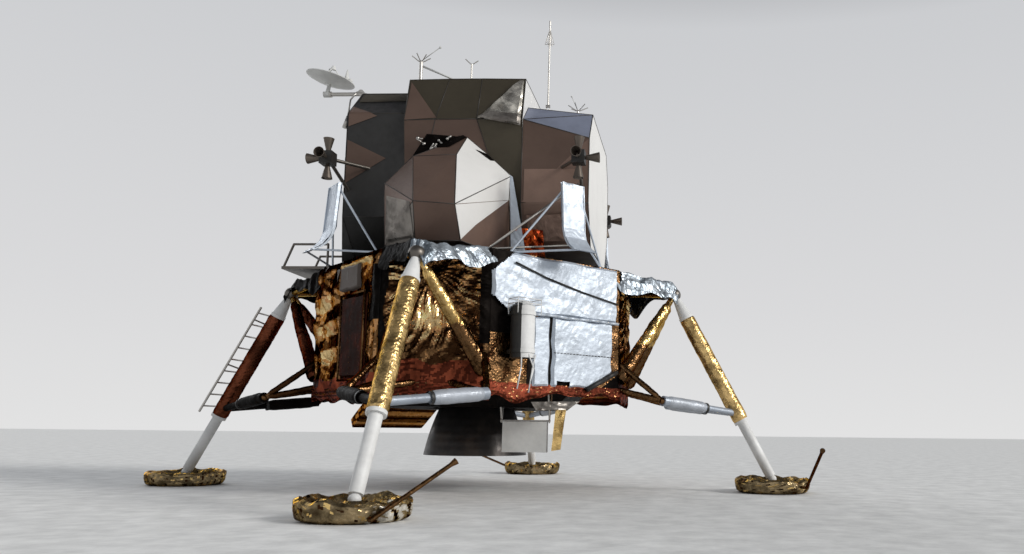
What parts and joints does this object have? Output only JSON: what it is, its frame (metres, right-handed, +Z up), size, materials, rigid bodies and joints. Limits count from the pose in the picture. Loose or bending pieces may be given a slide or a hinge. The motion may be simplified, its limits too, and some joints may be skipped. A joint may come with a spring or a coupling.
{
  "type": "lunar lander",
  "caption": "Two-stage crewed lander on four strutted legs, with foil-wrapped lower stage, faceted cabin, engine bell, ladder, hatch and steerable dishes.",
  "frame": {"origin": "on the ground below the vehicle's vertical axis, level with the undersides of the footpads", "axes": "+X forward to the hatch and ladder, +Y to the left, +Z up"},
  "size_m": [9.6839, 9.68, 7.2],
  "materials": {
    "foil": "crumpled amber foil",
    "gold": "crumpled gold foil",
    "copper": "crumpled copper foil",
    "blanket": "crumpled silver blanket",
    "skin": "satin panels",
    "black": "flat black",
    "bare": "satin",
    "white": "matt white",
    "bell": "dark coated",
    "glass": "coated panes"
  },
  "bodies": {
    "lander": {"aft_equipment_bay": "skin", "apex_fittings": "white", "base_heat_shield": "copper", "bay_panels": "blanket", "cabin_front": "black", "cabin_walls": "black", "contact_probes": "gold", "deployment_trusses": "gold", "descent_deck": "blanket", "docking_ring": "bare", "engine_bay_frame": "bare", "footpads": "gold", "fuel_cask": "bare", "interstage_posts": "copper", "ladder": "bare", "mast_foot": "bare", "midsection": "skin", "outrigger_blankets": "blanket", "outrigger_tubes": "gold", "plume_deflectors": "blanket", "porch": "bare", "primary_struts": "gold", "quadrant_bay_front_left": "foil", "quadrant_bay_front_right": "foil", "quadrant_bay_rear_left": "foil", "quadrant_bay_rear_right": "foil", "radar_foot": "bare", "radar_hangers": "bare", "relay_boom": "bare", "roof_antennas": "bare", "secondary_struts": "blanket", "tank_bay_front": "foil", "tank_bay_left": "foil", "tank_bay_rear": "foil", "tank_bay_right": "foil", "tank_fairing_left": "skin", "tank_fairing_right": "skin", "thruster_booms": "bare", "thruster_cluster_front_left": "black", "thruster_cluster_front_right": "black", "thruster_cluster_rear_left": "black", "thruster_cluster_rear_right": "black", "window_glass": "glass"},
    "hatch": {"forward_hatch": "skin"},
    "gimbal_ring": {"gimbal_ring": "bare"},
    "engine": {"descent_chamber": "bare", "descent_bell": "bell"},
    "tray": {"equipment_tray": "gold"},
    "radar_yoke": {"radar_yoke": "bare"},
    "radar_dish": {"radar_dish": "white"},
    "relay_yoke": {"relay_yoke": "bare"},
    "relay_dish": {"relay_dish": "white"},
    "mast": {"mast": "bare"},
    "landing_radar": {"landing_radar": "white"}
  },
  "joints": [
    {"name": "hatch_swing", "type": "hinge", "parent": "lander", "child": "hatch", "pos_m": [1.812, -0.423, 3.775], "axis": [0, 0, 1], "range_deg": [0, 85]},
    {"name": "gimbal_pitch", "type": "hinge", "parent": "lander", "child": "gimbal_ring", "pos_m": [0, 0, 2.08], "axis": [1, 0, 0], "range_deg": [-6, 6]},
    {"name": "gimbal_roll", "type": "hinge", "parent": "gimbal_ring", "child": "engine", "pos_m": [0, 0, 2.08], "axis": [0, 1, 0], "range_deg": [-6, 6]},
    {"name": "tray_fold", "type": "hinge", "parent": "lander", "child": "tray", "pos_m": [1.43197, -1.43197, 1.41], "axis": [0.7071, 0.7071, 0], "range_deg": [-120, 0]},
    {"name": "radar_shaft", "type": "hinge", "parent": "lander", "child": "radar_yoke", "pos_m": [1.96, 0, 6.01], "axis": [0, 1, 0], "range_deg": [-50, 30]},
    {"name": "radar_trunnion", "type": "hinge", "parent": "radar_yoke", "child": "radar_dish", "pos_m": [2.48, 0, 6.01], "axis": [1, 0, 0], "range_deg": [-45, 45]},
    {"name": "relay_turn", "type": "hinge", "parent": "lander", "child": "relay_yoke", "pos_m": [1.33, -1.56, 5.69], "axis": [0, 0, 1], "range_deg": [-120, 120]},
    {"name": "relay_tilt", "type": "hinge", "parent": "relay_yoke", "child": "relay_dish", "pos_m": [1.33, -1.56, 5.84], "axis": [0, 1, 0], "range_deg": [-50, 50]},
    {"name": "mast_fold", "type": "hinge", "parent": "lander", "child": "mast", "pos_m": [-0.93, -0.06, 5.82], "axis": [1, 0, 0], "range_deg": [0, 90]},
    {"name": "landing_radar_tilt", "type": "hinge", "parent": "lander", "child": "landing_radar", "pos_m": [-0.935, 1.02, 0.982], "axis": [1, 0, 0], "range_deg": [0, 24]}
  ]
}
